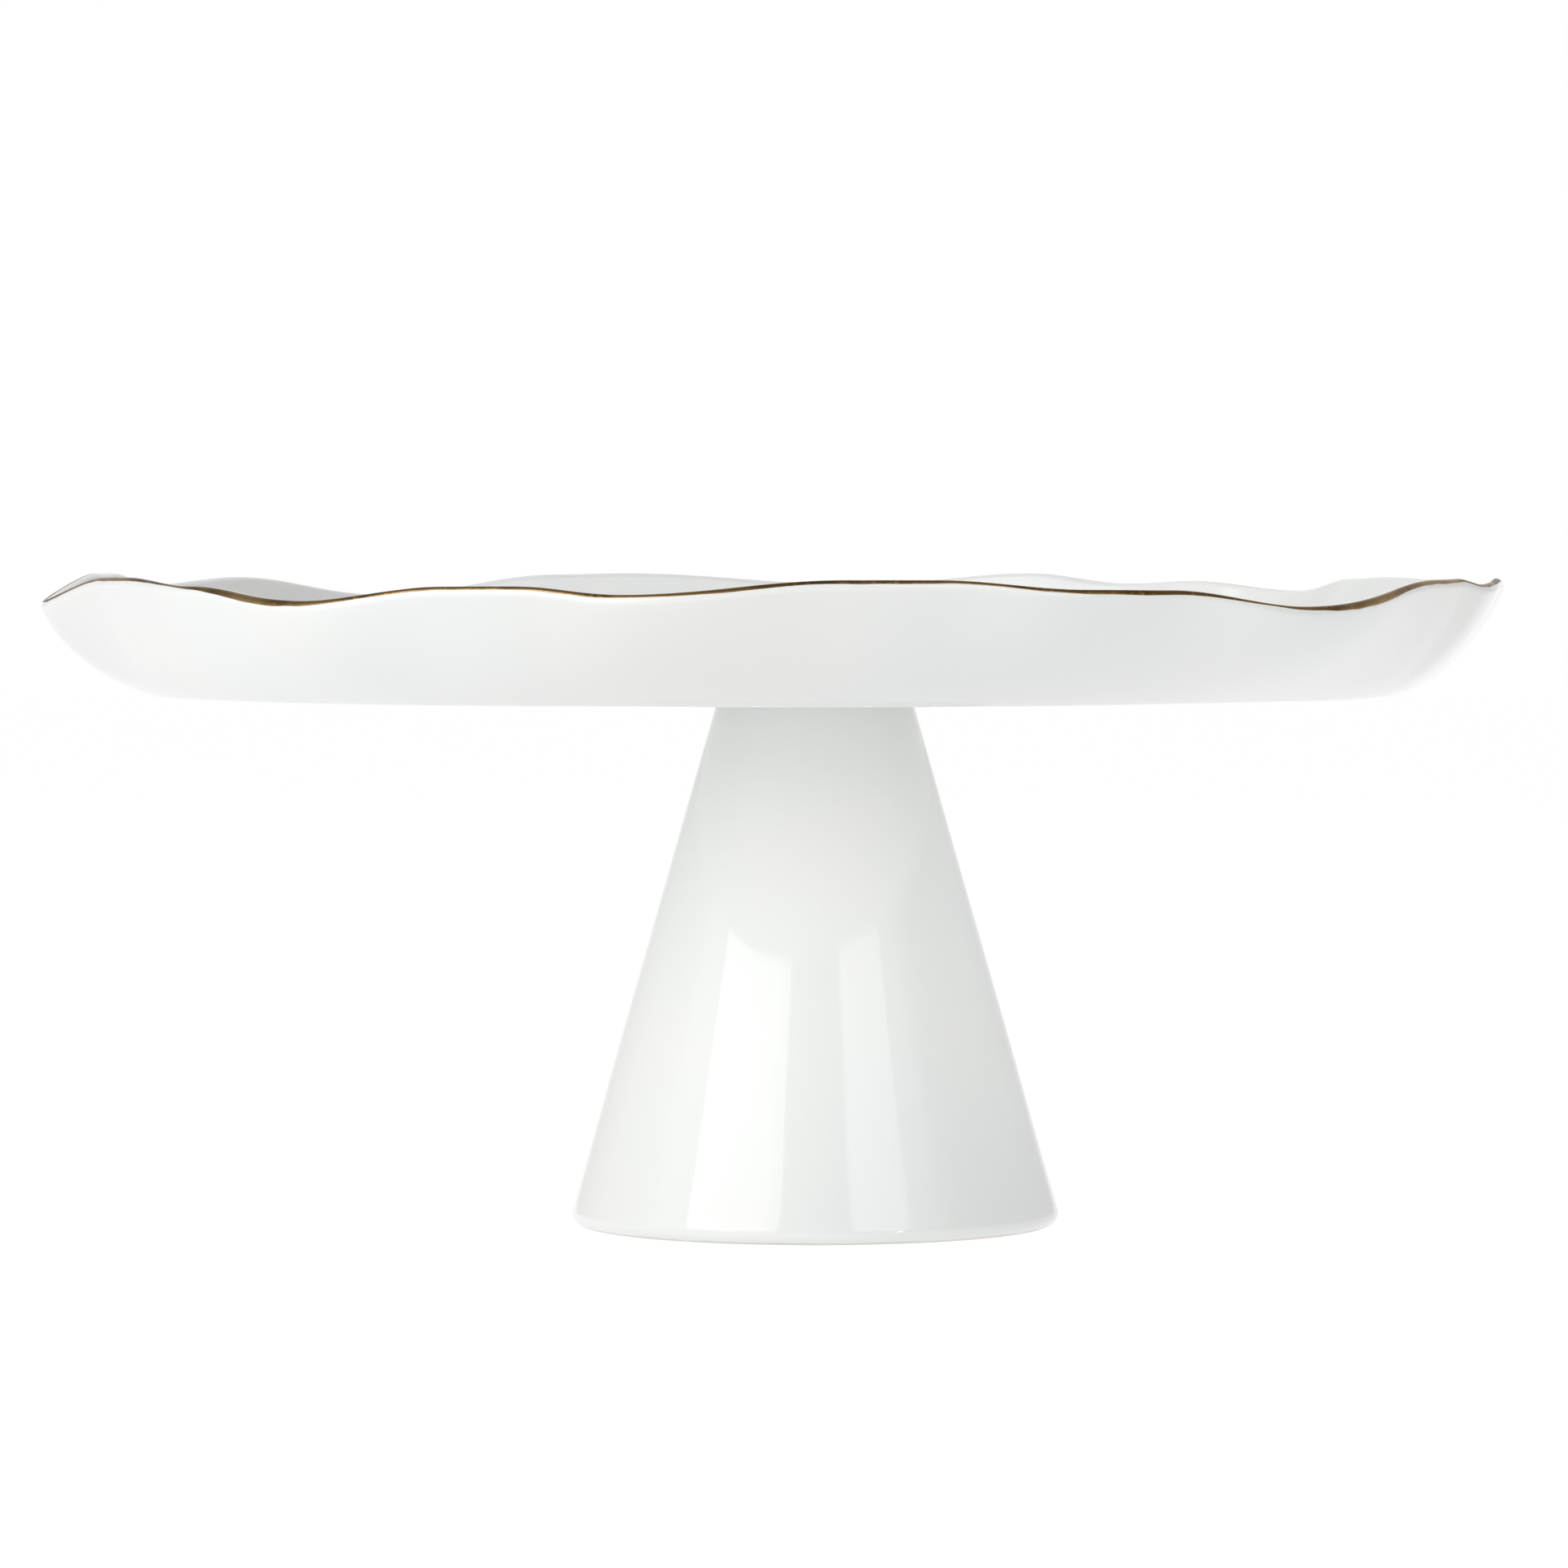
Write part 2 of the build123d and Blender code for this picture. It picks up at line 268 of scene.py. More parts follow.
def makeSweepTree():
    # Sweeps a profile round the stand's axis, between a base circle and the plate's rim line.
    # A profile point has a fixed place, its shares of the base radius and of the way to the rim,
    # its bow along the wall's end slopes, and an arc round the lip that the gilder's brush turns.
    tree, given = newTree("profileRoundRim", {
        "Rim": "Geometry", "Profile": "Object", "Base radius": "Float", "Base shift": "Float",
        "Seat height": "Float", "Clay waver": "Float", "Waver size": "Float", "Seed": "Float",
        "Material": "Material"})
    profile = addNode(tree, "GeometryNodeObjectInfo", {"Object": given["Profile"]}, "Geometry")

    # a column for each rim point, and a row for each profile point
    columns = addNode(tree, "GeometryNodeAttributeDomainSize", {0: given["Rim"]}, "Point Count")
    rows = addNode(tree, "GeometryNodeAttributeDomainSize", {0: profile}, "Point Count")
    grid, column, row = rolledGrid(tree, columns, rows)

    # what each column reads from the rim, and each row from the profile
    position = addNode(tree, "GeometryNodeInputPosition")
    read = {}
    for label, shape, where in (
            ("rim", given["Rim"], column), ("brush", given["Rim"], column), ("fixed", profile, row),
            ("shares", profile, row), ("bow", profile, row), ("arc", profile, row)):
        value = position
        if label not in ("rim", "fixed"):
            value = addNode(
                tree, "GeometryNodeInputNamedAttribute", {"Name": label}, data_type="FLOAT_VECTOR")
        read[label] = addNode(tree, "GeometryNodeSampleIndex", {
            "Geometry": shape, "Value": value, "Index": where}, data_type="FLOAT_VECTOR")
    share = addNode(tree, "ShaderNodeSeparateXYZ", {0: read["shares"]}).node.outputs
    arc = addNode(tree, "ShaderNodeSeparateXYZ", {0: read["arc"]}).node.outputs
    brush = addNode(tree, "ShaderNodeSeparateXYZ", {0: read["brush"]})

    # the base circle's radius at this column, and the gap from there to the rim
    flat = addNode(tree, "ShaderNodeVectorMath", {0: read["rim"], 1: (1, 1, 0)}, operation="MULTIPLY")
    outward = addNode(tree, "ShaderNodeVectorMath", {0: flat}, operation="NORMALIZE")
    east = addNode(tree, "ShaderNodeSeparateXYZ", {0: outward})
    shift = addNode(tree, "ShaderNodeMath", {0: given["Base shift"], 1: east}, operation="MULTIPLY")
    baseRadius = addNode(
        tree, "ShaderNodeMath", {0: given["Base radius"], 1: shift}, operation="SUBTRACT")
    rimRadius = addNode(tree, "ShaderNodeVectorMath", {0: flat}, "Value", operation="LENGTH")
    rimHeight = addNode(tree, "ShaderNodeSeparateXYZ", {0: read["rim"]}, "Z")
    gapOut = addNode(tree, "ShaderNodeMath", {0: rimRadius, 1: baseRadius}, operation="SUBTRACT")
    gapUp = addNode(
        tree, "ShaderNodeMath", {0: rimHeight, 1: given["Seat height"]}, operation="SUBTRACT")
    gap = addNode(tree, "ShaderNodeCombineXYZ", {0: gapOut, 2: gapUp})
    length = addNode(tree, "ShaderNodeVectorMath", {0: gap}, "Value", operation="LENGTH")
    reach = addNode(tree, "ShaderNodeMath", {0: length, 1: 3.0}, operation="DIVIDE")

    # the point's place in the half-plane: X is outwards, Z is up
    pulled = addNode(tree, "ShaderNodeMath", {0: share[0], 1: baseRadius}, operation="MULTIPLY")
    pull = addNode(tree, "ShaderNodeCombineXYZ", {0: pulled})
    lift = addNode(tree, "ShaderNodeVectorMath", {0: gap, "Scale": share[1]}, operation="SCALE")
    bend = addNode(tree, "ShaderNodeVectorMath", {0: read["bow"], "Scale": reach}, operation="SCALE")
    dragged = addNode(tree, "ShaderNodeMath", {0: brush, 1: arc[2]}, operation="MULTIPLY")
    turn = addNode(tree, "ShaderNodeMath", {0: arc[1], 1: dragged}, operation="SUBTRACT")
    across = addNode(tree, "ShaderNodeMath", {0: turn}, operation="COSINE")
    up = addNode(tree, "ShaderNodeMath", {0: turn}, operation="SINE")
    onArc = addNode(tree, "ShaderNodeCombineXYZ", {0: across, 2: up})
    swing = addNode(tree, "ShaderNodeVectorMath", {0: onArc, "Scale": arc[0]}, operation="SCALE")
    place = read["fixed"]
    for part in (pull, lift, bend, swing):
        place = addNode(tree, "ShaderNodeVectorMath", {0: place, 1: part}, operation="ADD")
    placed = addNode(tree, "ShaderNodeSeparateXYZ", {0: place}).node.outputs
    around = addNode(tree, "ShaderNodeVectorMath", {
        0: outward, "Scale": placed[0]}, operation="SCALE")
    upward = addNode(tree, "ShaderNodeCombineXYZ", {2: placed[2]})
    target = addNode(tree, "ShaderNodeVectorMath", {0: around, 1: upward}, operation="ADD")
    shaped = addNode(tree, "GeometryNodeSetPosition", {"Geometry": grid, "Position": target})
    closed = addNode(tree, "GeometryNodeMergeByDistance", {
        "Geometry": shaped, "Distance": mergeWithin * mm})

    # the clay wavers a little, and what lies on it wavers with it
    scale = addNode(tree, "ShaderNodeMath", {0: 1.0, 1: given["Waver size"]}, operation="DIVIDE")
    lumps = addNode(tree, "ShaderNodeTexNoise", {
        "Vector": position, "W": given["Seed"], "Scale": scale, "Detail": 1.0},
        "Color", noise_dimensions="4D")
    centred = addNode(tree, "ShaderNodeVectorMath", {
        0: lumps, 1: (0.5, 0.5, 0.5)}, operation="SUBTRACT")
    # but the foot ring was ground flat, so the waver starts above the table
    height = addNode(tree, "ShaderNodeSeparateXYZ", {0: position}, "Z")
    strength = addNode(tree, "ShaderNodeMapRange", {
        "Value": height, "From Min": waverStart * mm, "From Max": waverFull * mm,
        "To Min": 0.0, "To Max": given["Clay waver"]})
    offset = addNode(tree, "ShaderNodeVectorMath", {
        0: centred, "Scale": strength}, operation="SCALE")
    wavered = addNode(tree, "GeometryNodeSetPosition", {"Geometry": closed, "Offset": offset})
    finishTree(tree, wavered, given["Material"])
    return tree


sweepTree = makeSweepTree()


def lineObject(name, points, attributes, closed=False):
    # a chain of edges whose points carry vector attributes
    mesh = bpy.data.meshes.new(name)
    edges = [(i, i + 1) for i in range(len(points) - 1)]
    if closed:
        edges.append((len(points) - 1, 0))
    mesh.from_pydata(points, edges, [])
    for label, values in attributes.items():
        layer = mesh.attributes.new(label, "FLOAT_VECTOR", "POINT")
        layer.data.foreach_set("vector", [n for value in values for n in value])
    thing = bpy.data.objects.new(name, mesh)
    bpy.context.scene.collection.objects.link(thing)
    return thing


def bake(source, name):
    # the evaluated object as a plain mesh
    bpy.context.view_layer.update()
    evaluated = source.evaluated_get(bpy.context.evaluated_depsgraph_get())
    mesh = bpy.data.meshes.new_from_object(evaluated)
    mesh.name = name
    if mesh.materials[0] is None:
        mesh.materials.pop(index=0)  # Set Material leaves the first slot empty
    bpy.data.objects.remove(source)
    thing = bpy.data.objects.new(name, mesh)
    bpy.context.scene.collection.objects.link(thing)
    return thing


def runTree(thing, tree, values, name):
    modifier = thing.modifiers.new("shape", "NODES")
    modifier.node_group = tree
    for item in tree.interface.items_tree:
        if item.in_out == "INPUT" and item.name in values:
            modifier[item.identifier] = values[item.name]
    return bake(thing, name)


def sweep(name, rim, profile, values):
    places = [(p["at"][0] * mm, 0.0, p["at"][1] * mm) for p in profile]
    shape = lineObject(name + "Profile", places, {
        "shares": [(*p["shares"], 0.0) for p in profile],
        "bow": [(p["bow"][0], 0.0, p["bow"][1]) for p in profile],
        "arc": [(p["arc"][0] * mm, math.radians(p["arc"][1]), p["arc"][2]) for p in profile]})
    thing = runTree(rim, sweepTree, {"Profile": shape, **values}, name)
    bpy.data.objects.remove(shape)
    return thing


def onProfile(at, shares=(0.0, 0.0), bow=(0.0, 0.0), arc=(0.0, 0.0, 0.0)):
    return {"at": tuple(at), "shares": shares, "bow": tuple(bow), "arc": arc}


def roundedLoop(corners, step=2.0):
    # closed profile from (radius, height, rounding) corners; its long runs are cut into steps
    path = []
    count = len(corners)
    for i, (radius, height, rounding) in enumerate(corners):
        here = Vector((radius, height))
        back = (Vector(corners[i - 1][:2]) - here).normalized()
        on = (Vector(corners[(i + 1) % count][:2]) - here).normalized()
        half = back.angle(on) / 2
        start = here + back * rounding / math.tan(half)
        end = here + on * rounding / math.tan(half)
        centre = here + (back + on).normalized() * rounding / math.sin(half)
        first, last = (start - centre).normalized(), (end - centre).normalized()
        steps = 8
        path += [centre + first.slerp(last, k / steps) * rounding for k in range(steps + 1)]
    loop = []
    for start, end in zip(path, path[1:] + path[:1]):
        pieces = max(1, math.ceil((end - start).length / step))
        loop += [onProfile(start.lerp(end, k / pieces)) for k in range(pieces)]
    return loop + loop[:1]


def circleLine(name, count):
    turns = [2 * math.pi * i / count for i in range(count)]
    return lineObject(name, [(math.cos(t), math.sin(t), 0.0) for t in turns], {}, True)


def keep(thing, node, body):
    # the piece stands for its CAD node and moves with that node's body
    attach(thing, body)
    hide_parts(node)
    print("made", thing.name, "with", len(thing.data.polygons), "faces")
    return thing


plateSizes = {
    "rimRadius": 151.25,
    "rimShift": 6.25,
    "baseShift": 8.5,
    "wallOverhang": 20.5,
    "lipRise": 23.0,
    "lipFlare": 1.3,
    "lipThickness": 3.0,
    "floorThickness": 5.0,
    "floorInset": 4.0,
    "baseSlope": 20.0,
    "lipSlope": 65.0,
    "innerBow": 0.95,  # bow of the wall's inner curve, against the outer one's
    "baseEdge": [(-0.9, 0.0), (-0.1, 0.05)],  # the glaze softens it: out and up from its corner
    "bossRounding": 0.6,
    "bossFillet": 0.3,
    "columns": 640,
    "underSteps": 22,
    "wallSteps": 28,
    "lipSteps": 16,
    "floorSteps": 30,
    "waver": 0.45,
    "waverSize": 42.0,
    "seed": 4.0,
}

# Angle from +X, and height of the lip above its average.
rimWave = [
    (9.0, -0.3), (29.0, 1.35), (34.0, 1.0), (43.0, -1.65), (54.0, 0.5), (61.0, -0.15),
    (70.0, 2.1), (86.0, -0.4), (107.0, 2.15), (113.0, 1.9), (127.5, -2.7), (146.0, 1.5),
    (157.0, -0.2), (169.0, 2.4), (174.0, 2.4), (188.0, -3.0), (201.0, 1.6), (206.0, 1.6),
    (218.0, 0.0), (231.0, -2.7), (242.0, 0.1), (248.0, 0.15), (256.0, -1.35), (272.0, 1.4),
    (279.0, 1.4), (290.0, -0.5), (297.0, -0.6), (308.5, -3.85), (330.0, 1.3), (335.0, 1.45),
    (339.0, 0.3), (351.0, 1.4)]

goldSizes = {
    "lowEdge": 57.0,  # degrees round the lip from its outer edge
    "highEdge": 106.0,
    "film": 0.08,
    "fullness": 0.4,  # power that gives the film its full thickness close to its edges
    "sink": 0.06,  # how deep the film's back lies in the glaze
    "drag": 1.5,  # power by which the brush's straying dies out towards the upper edge
    "wander": 18.0,  # degrees by which the brush strayed
    "wanderSize": 24.0,
    "tremble": 5.0,
    "trembleSize": 5.0,
    "lowest": 34.0,  # the band never comes down further than this, in degrees
    "highest": 20.0,
    # heavier and lighter strokes: angle from +X, half width, and degrees further down
    "strokes": [(228.0, 8.0, 14.0), (318.0, 6.0, 26.0), (214.0, 4.0, -16.0), (306.0, 4.0, -8.0),
                (338.0, 4.0, -12.0)],
}

jointSizes = {
    "boltRadius": 3.0,
    "boltPoint": 0.8,
    "headFlats": 10.0,
    "headHeight": 4.0,
    "headChamfer": 0.7,
    "headCrown": 0.96,  # the chamfer's circle, as a share of the flats
    "headCorners": 0.57,  # radius over the broken corners, as a share of the flats
    "headEdge": 0.15,
    "headColumns": 120,
    "pitch": 1.0,
    "threadDepth": 0.55,
    "threadStart": 3.0,  # plain shank under the head
    "shankColumns": 48,
    "rowsPerPitch": 14,
    "holeClearance": 0.5,
    "cementGap": 1.2,
    "cementKey": 1.0,
    "bossWall": 3.0,
    "bossClearance": 0.5,
}
seat = level("pedestal", 1)
bossBottom = level("plate", 0)
headTop = level("mounting_bolt", 1)
socketMouth = jointSizes["headFlats"] / math.sqrt(3) + jointSizes["cementGap"]
socketTop = socketMouth + jointSizes["cementKey"]
bossRadius = socketTop + jointSizes["bossWall"]
holeRadius = jointSizes["boltRadius"] + jointSizes["holeClearance"]


def wave(angle):
    # eases from each crest to the next trough
    firstAngle, firstHeight = rimWave[0]
    turned = (angle - firstAngle) % 360 + firstAngle
    for (start, low), (end, high) in zip(rimWave, rimWave[1:] + [(firstAngle + 360, firstHeight)]):
        if turned <= end:
            share = (turned - start) / (end - start)
            return low + (high - low) * (1 - math.cos(math.pi * share)) / 2
    return firstHeight


def away(slope, length):
    return Vector((math.cos(math.radians(slope)), math.sin(math.radians(slope)))) * length


def lipEdge(angle):
    # radius and height of the lip's outer edge
    s = plateSizes
    rise = wave(angle)
    edge = s["rimRadius"] - s["rimShift"] * math.cos(math.radians(angle)) - s["lipFlare"] * rise
    half = s["lipThickness"] / 2
    centre = Vector((edge - half, seat + s["lipRise"] + rise - half))
    return centre + away(s["lipSlope"] - 90, half)


def brushDrop(angle):
    # how far the brush strayed down here, in degrees round the lip
    g = goldSizes
    turn = math.radians(angle)
    here = Vector((math.cos(turn), math.sin(turn), 0.0)) * plateSizes["rimRadius"]
    drop = g["wander"] * noise.noise(here / g["wanderSize"])
    drop += g["tremble"] * noise.noise(here / g["trembleSize"])
    for middle, width, extra in g["strokes"]:
        off = (angle - middle) / width
        drop += extra * math.exp(-off * off)
    return min(max(drop, -g["highest"]), g["lowest"])


def rimLine(name):
    count = plateSizes["columns"]
    points, brush = [], []
    for i in range(count):
        angle = 360 * i / count
        turn = math.radians(angle)
        radius, height = lipEdge(angle)
        points.append((radius * math.cos(turn) * mm, radius * math.sin(turn) * mm, height * mm))
        brush.append((math.radians(brushDrop(angle)), 0.0, 0.0))
    return lineObject(name, points, {"brush": brush}, True)


def onWall(step, inside):
    # a point of the wall's cubic curve: 0 is at the base, 1 at the lip
    s = plateSizes
    leaving = 3 * step * (1 - step) ** 2
    arriving = 3 * step ** 2 * (1 - step)
    rimShare = arriving + step ** 3
    bow = away(0 if inside else s["baseSlope"], leaving) - away(s["lipSlope"], arriving)
    at = Vector((0, seat))
    if inside:
        baseOffset = Vector((-s["floorInset"], s["floorThickness"]))
        at += baseOffset * (1 - rimShare) + away(s["lipSlope"] + 90, s["lipThickness"]) * rimShare
        bow *= s["innerBow"]
    return onProfile(at, (1.0, rimShare), bow)


def onLip(turn, swell=0.0, drag=0.0):
    # a point round the lip from its outer edge; the brush moves it by its drag
    s = plateSizes
    half = s["lipThickness"] / 2
    start = s["lipSlope"] - 90
    centre = Vector((0, seat)) - away(start, half)
    return onProfile(centre, (1.0, 1.0), arc=(half + swell, start + turn, drag))


def plateProfile():
    s = plateSizes
    floor = seat + s["floorThickness"]
    rounding, fillet = s["bossRounding"], s["bossFillet"]
    cut = rounding * 0.3  # the rounding's middle lies that far inside the corner
    bossRing = seat - 2.0
    corners = [(0.0, headTop), (socketTop / 2, headTop), (socketTop, headTop),
               (socketMouth, bossBottom), (bossRadius - rounding, bossBottom),
               (bossRadius - cut, bossBottom + cut), (bossRadius, bossBottom + rounding),
               (bossRadius, bossRing), (bossRadius, seat - fillet), (bossRadius + fillet, seat)]
    profile = [onProfile(corner) for corner in corners]
    # flat underside from the boss out to the base's edge
    for k in range(1, s["underSteps"]):
        share = k / s["underSteps"]
        profile.append(onProfile((bossRadius * (1 - share), seat), (share, 0.0)))
    profile += [onProfile((out, seat + up), (1.0, 0.0)) for out, up in s["baseEdge"]]
    profile += [onWall(k / s["wallSteps"], False) for k in range(1, s["wallSteps"])]
    profile += [onLip(180 * k / s["lipSteps"]) for k in range(s["lipSteps"] + 1)]
    profile += [onWall(1 - k / s["wallSteps"], True) for k in range(1, s["wallSteps"] + 1)]
    # floor in to the axis
    for k in range(1, s["floorSteps"] + 1):
        share = 1 - k / s["floorSteps"]
        profile.append(onProfile((-s["floorInset"] * share, floor), (share, 0.0)))
    return profile


def goldProfile():
    # outer face of the film from its lower edge over the lip, then its back inside the glaze
    g = goldSizes
    steps = 14
    face, back = [], []
    for k in range(steps + 1):
        share = k / steps
        turn = g["lowEdge"] + (g["highEdge"] - g["lowEdge"]) * share
        swell = g["film"] * math.sin(math.pi * share) ** g["fullness"] if 0 < k < steps else 0.0
        drag = (1 - share) ** g["drag"]
        face.append(onLip(turn, swell, drag))
        back.append(onLip(turn, -g["sink"], drag))
    return face + back[::-1] + face[:1]


def clayInputs(material):
    s = plateSizes
    return {
        "Base radius": (s["rimRadius"] - s["wallOverhang"]) * mm, "Base shift": s["baseShift"] * mm,
        "Seat height": seat * mm, "Clay waver": s["waver"] * mm, "Waver size": s["waverSize"] * mm,
        "Seed": s["seed"], "Material": material}


plate = sweep("plateShell", rimLine("rimLine"), plateProfile(), clayInputs(porcelain))
keep(plate, "plate", "plate")
goldBand = sweep("goldBand", rimLine("goldLine"), goldProfile(), clayInputs(firedGold))
keep(goldBand, "rim_gilding", "plate")
print("plate and its gold made")

footSizes = {
    "footRadius": 51.9,  # the cone carried down to the table
    "topRadius": 20.1,
    "wall": 5.5,
    "deckThickness": 10.0,
    "deckFillet": 4.0,
    "footRounding": 2.5,
    "footInnerRounding": 0.5,
    "topRounding": 0.35,
    "recessRounding": 0.4,
    "gasketWidth": 3.0,
    "gasketThickness": 0.8,
    "gasketRounding": 0.25,
    "gasketSlack": 0.05,
    "grooveRoundings": (0.2, 0.1),  # at its rims and in its corners
    "holeRoundings": (0.3, 0.6),  # above and below
    "columns": 320,
    "gasketColumns": 160,
}


def footProfile():
    f = footSizes
    recess = bossRadius + jointSizes["bossClearance"]
    recessBottom = bossBottom - jointSizes["bossClearance"]
    slope = math.atan2(f["footRadius"] - f["topRadius"], seat)
    innerFoot = f["footRadius"] - f["wall"] / math.cos(slope)
    deckBottom = seat - f["deckThickness"]
    innerDeck = innerFoot - deckBottom * math.tan(slope)
    grooveBottom = seat - f["gasketThickness"]
    middle = (recess + f["topRadius"]) / 2
    grooveOuter, grooveInner = middle + f["gasketWidth"] / 2, middle - f["gasketWidth"] / 2
    rimRounding, cornerRounding = f["grooveRoundings"]
    holeAbove, holeBelow = f["holeRoundings"]
    return roundedLoop([
        (innerFoot, 0.0, f["footInnerRounding"]), (f["footRadius"], 0.0, f["footRounding"]),
        (f["topRadius"], seat, f["topRounding"]),
        (grooveOuter, seat, rimRounding), (grooveOuter, grooveBottom, cornerRounding),
        (grooveInner, grooveBottom, cornerRounding), (grooveInner, seat, rimRounding),
        (recess, seat, f["recessRounding"]), (recess, recessBottom, f["recessRounding"]),
        (holeRadius, recessBottom, holeAbove), (holeRadius, deckBottom, holeBelow),
        (innerDeck, deckBottom, f["deckFillet"])])


def ringLoop(inner, outer, bottom, top, rounding, step=0.8):
    return roundedLoop([
        (inner, bottom, rounding), (outer, bottom, rounding), (outer, top, rounding),
        (inner, top, rounding)], step)


def turned(name, profile, material, columns, waver=0.0):
    values = {**clayInputs(material), "Clay waver": waver * mm}
    return sweep(name, circleLine(name + "Line", columns), profile, values)


foot = turned("hollowFoot", footProfile(), porcelain, footSizes["columns"], plateSizes["waver"])
keep(foot, "pedestal", "pedestal")

gasketMiddle = (bossRadius + jointSizes["bossClearance"] + footSizes["topRadius"]) / 2
gasketHalf = footSizes["gasketWidth"] / 2 - footSizes["gasketSlack"]
gasketLoop = ringLoop(
    gasketMiddle - gasketHalf, gasketMiddle + gasketHalf,
    level("seat_gasket", 0), level("seat_gasket", 1), footSizes["gasketRounding"])
gasket = turned(
    "seatGasket", gasketLoop, fittingMaterials["milkySilicone"], footSizes["gasketColumns"],
    plateSizes["waver"])
keep(gasket, "seat_gasket", "pedestal")
print("foot and its gasket made")

boltRadius = jointSizes["boltRadius"]
shoulder = headTop - jointSizes["headHeight"]
cementSizes = {
    "shankSlack": 0.05,
    "socketSlack": 0.03,
    "mouthSlack": 0.02,
    "headShare": 0.585,  # its hole for the head is round, just wider than the corners
    # it shrank a little as it set, so its face dips between the bolt and the boss
    "shankDip": 0.1,
    "deepestDip": 0.35,
    "deepestAt": 0.72,
    "dipRounding": 0.5,
    "mouthRounding": 0.05,
    "rounding": 0.1,
    "step": 0.5,
    "columns": 96,
}


def cementProfile():
    c = cementSizes
    shank = boltRadius + c["shankSlack"]
    head = jointSizes["headFlats"] * c["headShare"]
    top = headTop - c["socketSlack"]
    return roundedLoop([
        (shank, bossBottom + c["shankDip"], c["rounding"]),
        (socketMouth * c["deepestAt"], bossBottom + c["deepestDip"], c["dipRounding"]),
        (socketMouth - c["mouthSlack"], bossBottom + c["mouthSlack"], c["mouthRounding"]),
        (socketTop - c["socketSlack"], top, c["rounding"]), (head, top, c["rounding"]),
        (head, shoulder, c["rounding"]), (shank, shoulder, c["rounding"])], c["step"])


pottingCement = turned(
    "pottingCement", cementProfile(), fittingMaterials["plasterCement"], cementSizes["columns"])
keep(pottingCement, "potting_cement", "plate")

washerSizes = {
    "rubberRounding": 0.45,
    # punched: the top edge rolled over by the punch, the lower one crisp
    "holeRoundings": (0.12, 0.3),
    "rimRoundings": (0.15, 0.4),
    "step": 0.8,
    "columns": 128,
}
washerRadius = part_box("steel_washer")[1].x / mm


def steelWasherProfile():
    w = washerSizes
    bottom, top = level("steel_washer", 0), level("steel_washer", 1)
    return roundedLoop([
        (holeRadius, bottom, w["holeRoundings"][0]), (washerRadius, bottom, w["rimRoundings"][0]),
        (washerRadius, top, w["rimRoundings"][1]), (holeRadius, top, w["holeRoundings"][1])],
        w["step"])


rubberLoop = ringLoop(
    holeRadius, washerRadius, level("rubber_washer", 0), level("rubber_washer", 1),
    washerSizes["rubberRounding"])
rubberWasher = turned(
    "rubberWasher", rubberLoop, fittingMaterials["blackNitrile"], washerSizes["columns"])
keep(rubberWasher, "rubber_washer", "washers")
steelWasher = turned(
    "steelWasher", steelWasherProfile(), fittingMaterials["zincPlatedSteel"],
    washerSizes["columns"])
keep(steelWasher, "steel_washer", "washers")


def hexLine(name):
    # hexagon with its corners just broken, for the bolt's head
    flats, columns = jointSizes["headFlats"], jointSizes["headColumns"]
    points = []
    for i in range(columns):
        angle = 360 * i / columns
        off = math.radians(angle % 60 - 30)
        radius = min(flats / 2 / math.cos(off), flats * jointSizes["headCorners"]) * mm
        turn = math.radians(angle)
        points.append((radius * math.cos(turn), radius * math.sin(turn), seat * mm))
    return lineObject(name, points, {}, True)


def boltHead():
    # a chamfered circle above and below, the hexagon between
    j = jointSizes
    edge = j["headEdge"]
    chamferStart = headTop - j["headChamfer"]
    crown = j["headFlats"] / 2 * j["headCrown"]
    underside = [(0.0, shoulder), (boltRadius, shoulder), (crown, shoulder)]
    top = [(radius, headTop) for radius in (crown, crown - 0.4, 2.0, 0.0)]
    heights = (shoulder + edge, shoulder + 2 * edge, chamferStart - 0.1, chamferStart)
    flats = [onProfile((0.0, height), (0.0, 1.0)) for height in heights]
    profile = [onProfile(p) for p in underside] + flats + [onProfile(p) for p in top]
    # with no base radius the rim line alone sets the flats
    values = {**clayInputs(fittingMaterials["zincPlatedSteel"]), "Clay waver": 0.0,
              "Base radius": 0.0, "Base shift": 0.0}
    return sweep("boltHead", hexLine("hexLine"), profile, values)


